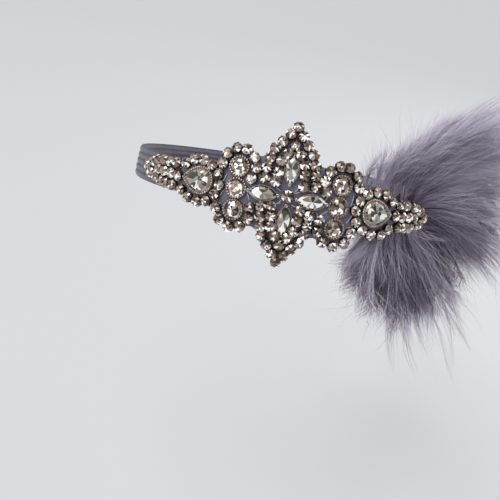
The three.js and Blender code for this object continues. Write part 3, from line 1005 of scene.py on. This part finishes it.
def make_pear():
    bm = new_form()
    raised(bm, pear_outline(0), PEAR_SIDES, PEAR_DISH, BEADING)
    raised(bm, pear_outline(PEAR_RIM), PEAR_SIDES, PEAR_LEVELS, CRYSTAL)
    turns = np.linspace(-math.pi, math.pi, ROPE_STEPS + 1)
    rope = np.array([pear_outline(ROPE_INSET)(turn) for turn in turns])
    for x, y in spaced(rope, PEAR_BEADS, closed=True):
        add_bead(bm, (x, y, ROPE_HEIGHT), PEAR_BEAD)
    return finished_form("pear_form", bm)


pear_form = make_pear()
for side, way in SIDES.items():
    turn = 0 if way > 0 else math.pi
    place = way * PEAR_ROUND_END, ARM_AXIS
    make_single(f"{side}_pear_jewel", f"{side}_pear", pear_form, *place, turn, LARGE_FACETS)

# %% [markdown]
# Pale thread shows wherever felt shows. A stitch is a small arch, a circle spun through half a turn and
# stretched to its length. Some cross the links between stones, and longer ones cross the open felt: a
# row gives their place along and up, their length in millimetres and their turn.

# %% Stitches
THREAD_COLOURS = [(0.3, (0.42, 0.40, 0.52)), (0.7, (0.72, 0.70, 0.82))]
THREAD_RADIUS = 0.22 * MM
THREAD_SQUEEZE = 0.25
LINK_STITCH = 3.0 * MM
LINK_STITCH_HEIGHT = 1.6 * MM
LINKS_STITCHED = 0.4
STITCH_SCATTER = 0.2
OPEN_STITCH_HEIGHT = 1.0 * MM
OPEN_STITCHES = [
    (5.2, 3.0, 5.0, 28), (-5.4, 3.0, 5.0, 150), (4.6, -4.0, 5.4, -20), (-4.8, -3.8, 5.0, 12),
    (14.5, 6.2, 4.4, 60), (-14.8, 6.4, 4.2, 118), (15.2, -6.4, 4.6, -44), (-15.0, -6.8, 4.6, 36),
    (28.6, 2.6, 4.8, 80), (-28.6, 2.2, 4.6, 74), (28.8, -4.6, 5.6, 62), (-29.2, -5.4, 5.8, 66),
    (-30.4, -8.6, 3.8, -16), (30.2, -8.4, 3.6, 20), (3.6, 3.6, 3.6, 62), (-3.4, -3.4, 4.0, 50),
    (9.6, -5.2, 6.4, 6), (-9.8, -5.4, 6.0, -8), (-9.0, 4.2, 5.4, 10), (9.2, 4.0, 5.2, -12),
    (-16.6, -3.2, 4.0, -64), (17.0, 2.6, 4.0, 70), (-17.4, 2.8, 3.6, -40), (17.4, -3.8, 4.2, 40),
]


def make_thread():
    finish = Finish("thread", Roughness=0.55, Sheen_Weight=0.3)
    finish.show(Base_Color=finish.ramp(finish.noise(0.35 * MM), THREAD_COLOURS))
    return finish


def make_stitch():
    """An arch one unit long and half a unit tall, of thread squeezed thin along it."""
    bm = new_form()
    circle = bmesh.ops.create_circle(
        bm, cap_ends=True, segments=5, radius=THREAD_RADIUS / MM,
        matrix=Matrix.Translation((0.5, 0, 0)) @ Matrix.Diagonal((THREAD_SQUEEZE, 1, 1, 1)),
    )
    foot = circle["verts"][0].link_faces[:]
    bmesh.ops.spin(bm, geom=foot, cent=(0, 0, 0), axis=(0, -1, 0), angle=math.pi, steps=6)
    return finished_form("stitch_form", bm)


def add_stitch(bm, seat, length, height):
    before = len(bm.verts)
    bm.from_mesh(stitch_form)
    bm.verts.ensure_lookup_table()
    bmesh.ops.transform(bm, matrix=seat @ Matrix.Diagonal((length, MM, height, 1)), verts=bm.verts[before:])


def make_stitches():
    bm = bmesh.new()
    for places in CHAINS.values():
        for (along, up), turn in links(places):
            if RNG.uniform() < LINKS_STITCHED:
                across = turn + math.pi / 2 + RNG.normal() * STITCH_SCATTER
                add_stitch(bm, turned_seat(along, up, across), LINK_STITCH, LINK_STITCH_HEIGHT)
    for along, up, length, turn in OPEN_STITCHES:
        seat = turned_seat(along * MM, up * MM, math.radians(turn))
        add_stitch(bm, seat, length * MM, OPEN_STITCH_HEIGHT)
    return as_piece("stitches", bm, [thread], "felt", smooth=True)


thread = make_thread()
stitch_form = make_stitch()
make_stitches()

# %% [markdown]
# The plumes are marabou, soft down in wisps. Hair particles leave no mesh, so every strand is a thin
# closed tube, worked out for all strands at once with arrays. The shafts fan out in locks as the packed
# plumes do, but loose down bends further than a solid, and one more lock fills the parting. A row gives
# a lock's start along the band, its angle in the head's skin (0 to the rear, 90 up), its length, how
# much is hidden behind the applique, its lean away from the head, its curl, its width, and how much
# paler or darker it is than its plume: partly the down's own colour, and on the darkest rows, beside
# the applique's end, painted shade.

# %% Where the locks of down run
LOCK_COLUMNS = ("along", "angle", "length", "hidden", "rise", "curl", "width", "tone")
LONG_COLUMNS = ("along", "length", "hidden", "width")
UPPER_LOCKS = [
    (31, 76, 28, 14, 10, -8, 12, 0.5),
    (39, 79, 33, 14, 20, -24, 14, 0.38),
    (50, 82, 43, 13, 8, -48, 16, 0.02),
    (60, 77, 56, 13, 28, -60, 18, -0.02),
    (63, 67, 80, 12, 10, -60, 20, -0.02),
    (65, 58, 108, 12, 32, -55, 23, -0.08),
    (67, 47, 126, 12, 10, -49, 24, -0.04),
    (69, 37, 132, 12, 34, -46, 25, 0.06),
    (70, 26, 130, 12, 13, -45, 25, 0.12),
    (71, 14, 124, 12, 36, -46, 24, 0.02),
    (72, 4, 114, 12, 14, -47, 22, -0.24),
    (72, -6, 102, 12, 30, -46, 20, -0.4),
    (71, -15, 96, 12, 20, -42, 19, -0.42),
]
LOWER_LOCKS = [
    (70, -24, 92, 13, 12, -34, 18, -0.24),
    (69, -37, 88, 13, 30, -26, 19, -0.12),
    (67, -49, 88, 13, 10, -18, 18, 0.0),
    (64, -61, 86, 13, 30, -10, 19, -0.02),
    (62, -73, 80, 13, 10, -4, 18, -0.05),
    (59, -84, 74, 13, 28, 0, 17, -0.08),
    (57, -96, 66, 13, 10, 6, 16, -0.03),
    (54, -108, 58, 14, 24, 10, 15, 0.1),
    (50, -114, 48, 16, 9, -4, 13, 0.16),
    (45, -116, 40, 18, 16, -20, 11, 0.2),
]
ROOT_OUT = BAND_RIDGE + 1.1 * MM


def locks_between(table, spots):
    """The locks at fractional rows of a table."""
    rows = np.array(table, float)
    found = {}
    for column, values in zip(LOCK_COLUMNS, rows.T):
        scale = MM if column in LONG_COLUMNS else 1
        found[column] = np.interp(spots, np.arange(len(rows)), values) * scale
    return found


def lock_line(lock, run):
    """Places along a lock, the ways ahead and out, the height off the skin and the run shown."""
    near = np.minimum(run, lock["hidden"])
    far = run - near
    free = lock["length"] - lock["hidden"]
    start = np.radians(lock["angle"])
    place, along_way, up_way, out_way = on_head(
        lock["along"] + near * np.cos(start), near * np.sin(start), ROOT_OUT
    )
    heading = np.radians(lock["angle"] + lock["curl"] * far / free / 2)[..., None]
    lean = np.radians(lock["rise"] * (free + far) / free / 2)
    ahead = along_way * np.cos(heading) + up_way * np.sin(heading)
    height = far * np.sin(lean)
    place = place + ahead * (far * np.cos(lean))[..., None] + out_way * height[..., None]
    return place, ahead, out_way, height + far * far / (2 * HEAD_UPRIGHT_RADIUS), far


print(len(UPPER_LOCKS) + len(LOWER_LOCKS), "locks of down")

# %% [markdown]
# A barb follows its shaft and opens away from it, to the side and off the head, with a slow wave and a
# hook at its end. Behind the applique it stays nearly closed, and it never sinks into the skin.

# %% The path of a barb
OPENING = 14 * MM
OPENING_POWER = 0.8
CLOSED_SIDE = 0.45
CLOSED_HEIGHT = 0.1
FLATNESS = 0.7
NOD_PHASE = 1.7
HEAD_CLEARANCE = 0.65
SKIN_GAP = 0.6 * MM


def barb_paths(lock, barb, steps):
    """Points along each barb, and how far each has run in the open."""
    place, ahead, out, clear, far = lock_line(lock, barb["start"] + barb["reach"] * steps)
    across = np.cross(ahead, out)
    freed = np.clip(far / OPENING, 0, 1) ** OPENING_POWER
    opened = (1 - (1 - steps) ** 2) * barb["spread"]
    sway = barb["wave"] * steps * np.sin(2 * np.pi * (barb["turns"] * steps + barb["phase"]))
    nod = barb["wave"] * steps * np.cos(2 * np.pi * (barb["turns"] * steps + NOD_PHASE * barb["phase"]))
    side = opened * np.cos(barb["way"]) * (CLOSED_SIDE + (1 - CLOSED_SIDE) * freed)
    side = side + sway + barb["hook"] * steps ** 2
    high = FLATNESS * opened * np.sin(barb["way"]) + FLATNESS * nod
    high = high * (CLOSED_HEIGHT + (1 - CLOSED_HEIGHT) * freed)
    high = np.maximum(high, -(SKIN_GAP + HEAD_CLEARANCE * clear))
    return place + across * side[..., None] + out * high[..., None], far


print("barbs open over", round(OPENING / MM), "mm")

# %% [markdown]
# Down gathers in wisps. Each has one guiding barb, drawn by chance: where it leaves the shaft, to which
# side, how far it spreads and how it waves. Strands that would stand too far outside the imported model's
# box are left out.

# %% Draw the wisps
SHAFT_LENGTHS = (0.82, 1.02)
SHAFT_RISES = (0.5, 1.15)
CURL_SCATTER = 5
BARBS_START = 0.25
BARBS_STOP = 0.74
SHORTEST_BARB = 9 * MM
LIFT_SCATTER = 0.6
SPREADS = (0.15, 1)
SPREAD_POWER = 0.6
WAVES = (0.4, 2.2)
WAVE_TURNS = (0.3, 1.1)
PROUD_SHARE = 0.03
PROUD_STEP = 9 * MM


def draw_shafts(table, layer):
    """Shafts spread over a table's locks, each a little different."""
    count = layer["shafts"]
    share = ((np.arange(count) + RNG.uniform(0, 1, count)) / count) ** layer["thin_start"]
    shafts = locks_between(table, layer["first"] + (len(table) - 1 - layer["first"]) * share)
    shafts["angle"] = shafts["angle"] + RNG.normal(0, layer["scatter"], count)
    shafts["length"] = shafts["length"] * RNG.uniform(*SHAFT_LENGTHS, count)
    shafts["rise"] = shafts["rise"] * RNG.uniform(*SHAFT_RISES, count)
    shafts["curl"] = shafts["curl"] + RNG.normal(0, CURL_SCATTER, count)
    return shafts


def draw_wisps(shafts, layer):
    """Guiding barbs: the lock of each, and how it leaves its shaft."""
    shape = (layer["wisps"], 1)
    shaft = RNG.integers(0, len(shafts["along"]), layer["wisps"])
    lock = {column: values[shaft][:, None] for column, values in shafts.items()}
    first = BARBS_START * lock["hidden"]
    start = first + (BARBS_STOP * lock["length"] - first) * RNG.uniform(0, 1, shape) ** layer["early"]
    ends = lock["length"] * RNG.uniform(*layer["ends"], shape)
    reach = np.minimum(RNG.uniform(*layer["reach"], shape) * lock["length"], ends - start)
    lift = RNG.normal(layer["lift"], LIFT_SCATTER, shape)
    return lock, {
        "start": start,
        "reach": np.maximum(reach, SHORTEST_BARB),
        "way": np.where(RNG.uniform(0, 1, shape) < 0.5, lift, np.pi - lift),
        "spread": lock["width"] / 2 * RNG.uniform(*SPREADS, shape) ** SPREAD_POWER,
        "wave": RNG.uniform(*WAVES, shape) * MM,
        "turns": RNG.uniform(*WAVE_TURNS, shape),
        "phase": RNG.uniform(0, 1, shape),
        "hook": RNG.normal(0, layer["hook"] * MM, shape),
        "clump": RNG.uniform(*layer["clump"], shape),
        "tone": np.clip(RNG.normal(layer["tone"], layer["mixed"], shape) + lock["tone"], 0, 1),
    }


def inside_box(paths):
    """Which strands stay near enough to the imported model's box."""
    low, high = (np.array(corner) for corner in cad_box)
    spare = PROUD_SHARE * (high - low) + PROUD_STEP
    return np.all((paths > low - spare) & (paths < high + spare), axis=(1, 2))


print("barbs are at least", round(SHORTEST_BARB / MM), "mm long")

# %% [markdown]
# The strands of a wisp start spread out round its guide and draw in to it towards the tip, which gives
# soft, feathery points. A few strays stay out, wave more and are paler. Each strand gets a tone, from
# dark to pale, and each point on it a run, which tells how far it is from the root. Low runs are darker:
# partly the down's own darker root, partly painted shade near the head and under the applique.

# %% Draw the strands
START_SCATTER = 3.0
EARLIEST_START = 0.2
STRAND_REACHES = (0.65, 1.08)
WAY_SCATTER = 0.5
STRAND_SPREADS = (0.6, 1.25)
STRAND_WAVES = (0.5, 1.5)
PHASE_SCATTER = 0.08
TONE_SCATTER = 0.07
STRAY_SPREAD = 1.2
STRAY_HOOK = 11 * MM
STRAY_PALER = 0.25
# Strands darken towards the root over DARK_REACH: partly the down's own colour, partly painted shade near the
# head and under the applique.
ROOT_SHARE = 0.65
DARK_REACH = 30 * MM


def loosened(guide, lock, stray):
    """Each strand's barb: its guide's, a little changed, and more so in a stray."""
    shape = stray.shape
    start = guide["start"] + RNG.normal(0, START_SCATTER, shape) * MM
    return {
        **guide,
        "start": np.maximum(start, EARLIEST_START * lock["hidden"]),
        "reach": guide["reach"] * RNG.uniform(*STRAND_REACHES, shape),
        "way": guide["way"] + RNG.normal(0, WAY_SCATTER, shape),
        "spread": guide["spread"] * RNG.uniform(*STRAND_SPREADS, shape) * (1 + STRAY_SPREAD * stray),
        "wave": guide["wave"] * RNG.uniform(*STRAND_WAVES, shape) * (1 + stray),
        "phase": guide["phase"] + RNG.normal(0, PHASE_SCATTER, shape),
        "hook": guide["hook"] + RNG.normal(0, STRAY_HOOK, shape) * stray,
    }


def draw_strands(table, layer):
    """Paths of all strands in a layer, the run at each point, and each one's tone."""
    steps = np.linspace(0, 1, layer["steps"])[None, :]
    lock, guide = draw_wisps(draw_shafts(table, layer), layer)
    guided, _ = barb_paths(lock, guide, steps)
    pick = np.repeat(np.arange(layer["wisps"]), layer["strands"])
    lock, guide = ({name: values[pick] for name, values in rows.items()} for rows in (lock, guide))
    stray = RNG.uniform(0, 1, (len(pick), 1)) < layer["strays"]
    barb = loosened(guide, lock, stray)
    own, far = barb_paths(lock, barb, steps)
    drawn_in = (barb["clump"] * ~stray * steps ** layer["gather"])[..., None]
    paths = own * (1 - drawn_in) + guided[pick] * drawn_in
    tone = barb["tone"][:, 0] + RNG.normal(0, TONE_SCATTER, len(pick)) + STRAY_PALER * stray[:, 0]
    # The run sets the darkening near the root, partly painted shade.
    run = (1 - ROOT_SHARE) * steps + ROOT_SHARE * np.clip(far / DARK_REACH, 0, 1)
    first, last = layer["run"]
    kept = inside_box(paths)
    return paths[kept], (first + (last - first) * run)[kept], np.clip(tone, 0, 1)[kept]


print("strands go dark over their first", round(DARK_REACH / MM), "mm")

# %% [markdown]
# A strand becomes a three-sided tube that closes in a point. Tone and run go with it as attributes, and
# its colour depends on these alone: dark plum where both are low, lilac grey between, nearly white
# where both are high. The dark plum is partly the down's own colour and partly painted shade, in the
# inner layers and near the roots. A map with the same two axes lets the colour be baked exactly.

# %% Strand meshes
STRAND_RADIUS = 0.075 * MM
STRAND_TAPER = (1.2, 0.2)
TUBE_SIDES = 3
MAP_WIDTH = 0.004
CROSSWAY = np.array([0.31, 0.17, 0.93])
# Dark plum, partly painted shade, up to nearly white.
DOWN_COLOURS = [
    (0.14, (0.056, 0.025, 0.063)),
    (0.36, (0.265, 0.20, 0.30)),
    (0.60, (0.58, 0.52, 0.655)),
    (0.85, (0.88, 0.83, 0.93)),
]


def make_down():
    finish = Finish("down", Roughness=0.8, Sheen_Weight=0.2, Sheen_Roughness=0.5, Specular_IOR_Level=0.2)
    tone, run = finish.attribute("tone"), finish.attribute("run")
    # Low tone and low run give the painted shade of inner layers and roots.
    finish.show(Base_Color=finish.ramp(tone * 0.45 + run * (0.2 + tone * 0.4), DOWN_COLOURS))
    return finish


def tube_faces(rings):
    """One strand's triangles: a base, walls between its rings, and a point."""
    faces = [(0, 2, 1)]
    pairs = [(side, (side + 1) % TUBE_SIDES) for side in range(TUBE_SIDES)]
    for ring in range(rings - 1):
        for here, there in np.array(pairs) + ring * TUBE_SIDES:
            faces += [(here, there, there + TUBE_SIDES), (here, there + TUBE_SIDES, here + TUBE_SIDES)]
    last = (rings - 1) * TUBE_SIDES
    return np.array(faces + [(last + here, last + there, last + TUBE_SIDES) for here, there in pairs])


def strand_mesh(name, paths, run, tone):
    count, steps = paths.shape[:2]
    rings = steps - 1
    ahead = unit(np.gradient(paths, axis=1))
    side = unit(np.cross(ahead, TILT @ CROSSWAY))
    over = np.cross(ahead, side)
    width = STRAND_RADIUS * np.linspace(*STRAND_TAPER, steps)
    turns = np.arange(TUBE_SIDES) * 2 * np.pi / TUBE_SIDES
    ring = side[:, :, None] * np.cos(turns)[:, None] + over[:, :, None] * np.sin(turns)[:, None]
    tubes = paths[:, :rings, None] + ring[:, :rings] * width[:rings, None, None]
    verts = np.concatenate([tubes.reshape(count, rings * TUBE_SIDES, 3), paths[:, rings:]], axis=1)
    per_strand = verts.shape[1]
    faces = tube_faces(rings)[None] + np.arange(count)[:, None, None] * per_strand
    along = np.concatenate([np.repeat(run[:, :rings], TUBE_SIDES, axis=1), run[:, rings:]], axis=1)
    return mesh_from_arrays(name, verts.reshape(-1, 3), faces.reshape(-1, 3), {
        "tone": np.repeat(tone, per_strand),
        "run": along.ravel(),
    })


def mesh_from_arrays(name, verts, faces, values):
    corners = faces.ravel()
    mesh = bpy.data.meshes.new(name)
    mesh.vertices.add(len(verts))
    mesh.vertices.foreach_set("co", verts.ravel())
    mesh.loops.add(len(corners))
    mesh.loops.foreach_set("vertex_index", corners)
    mesh.polygons.add(len(faces))
    mesh.polygons.foreach_set("loop_start", np.arange(len(faces)) * 3)
    mesh.update(calc_edges=True)
    for attribute, numbers in values.items():
        mesh.attributes.new(attribute, "FLOAT", "POINT").data.foreach_set("value", numbers)
    apart = np.tile(np.arange(3), len(faces)) * MAP_WIDTH
    spots = points_from(values["tone"][corners] * (1 - 3 * MAP_WIDTH) + apart, values["run"][corners])
    mesh.uv_layers.new(name="OFBake").data.foreach_set("uv", spots.ravel())
    mesh.shade_smooth()
    return mesh


down = make_down()
print("strands are", round(2 * STRAND_RADIUS * STRAND_TAPER[0] / MM, 2), "mm thick at the root")

# %% [markdown]
# Each plume has a darker inner layer, close to the head, and a paler outer one in larger wisps, so that
# the dark shows between them; the inner layer's darkness is partly painted shade deep in the down. The
# upper plume catches the light, so it is painted the paler of the two, as painted light. A layer starts at
# the row "first" of its locks, with its shafts crowded to one end by "thin_start". Its barbs leave
# early, reach so far and stop at shares of the lock; "clump" and "gather" draw strands in, and "hook",
# "scatter" and "strays" keep it untidy. The inner strands of the lower plume run backwards, lighter at
# the root and darker at the end, as painted shade where they end in the shade.

# %% Plumes
PLUMES = {"upper": UPPER_LOCKS, "lower": LOWER_LOCKS}
LAYERS = ("upper_down_inner", "upper_down_outer", "lower_down_inner", "lower_down_outer")
LOOKS = {
    "shafts": (60, 44, 60, 44),
    "wisps": (1100, 1150, 1100, 470),
    "strands": (8, 6, 8, 7),
    "steps": (5, 6, 5, 6),
    "first": (1.9, 0, 0, 0),
    "thin_start": (0.9, 0.76, 1, 1),
    "early": (1.2, 1.1, 1.2, 1.6),
    "reach": ((0.34, 0.70), (0.34, 0.70), (0.36, 0.75), (0.36, 0.85)),
    "ends": ((0.7, 1.05), (0.76, 1.15), (0.4, 0.84), (0.7, 1.14)),
    "lift": (-0.3, 0.4, -0.3, 0.4),
    "clump": ((0.1, 0.45), (0.1, 0.6), (0.3, 0.7), (0.3, 0.9)),
    "gather": (1.3, 1.3, 1.3, 0.8),
    "hook": (3, 4, 3, 8),
    "scatter": (3, 4, 3, 8),
    "strays": (0.05, 0.06, 0.05, 0.09),
    # Darker inner layers are partly painted shade, and the paler upper plume is painted light, over the
    # down's own colour.
    "tone": (0.48, 0.82, 0.2, 0.58),
    "mixed": (0.12, 0.16, 0.06, 0.3),
    # The lower inner layer runs from 1 at the root to 0 at its end: painted shade where it ends.
    "run": ((0, 1), (0.04, 1), (1, 0), (0.88, 1)),
}

for number, name in enumerate(LAYERS):
    plume = name.split("_")[0]
    drawn = draw_strands(PLUMES[plume], {look: values[number] for look, values in LOOKS.items()})
    seated(name, strand_mesh(name, *drawn), [down], "plume", f"{plume}_plume")

# %% [markdown]
# Both boxes are measured and printed.

# %% Size
def write_sizes():
    boxes = {"cad": [list(p) for p in cad_box], "visual": [list(p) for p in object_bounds()]}
    for axis, name in enumerate("xyz"):
        spans = [(low[axis], high[axis]) for low, high in boxes.values()]
        print(name, [f"{low / MM:.1f} to {high / MM:.1f} mm" for low, high in spans])


write_sizes()
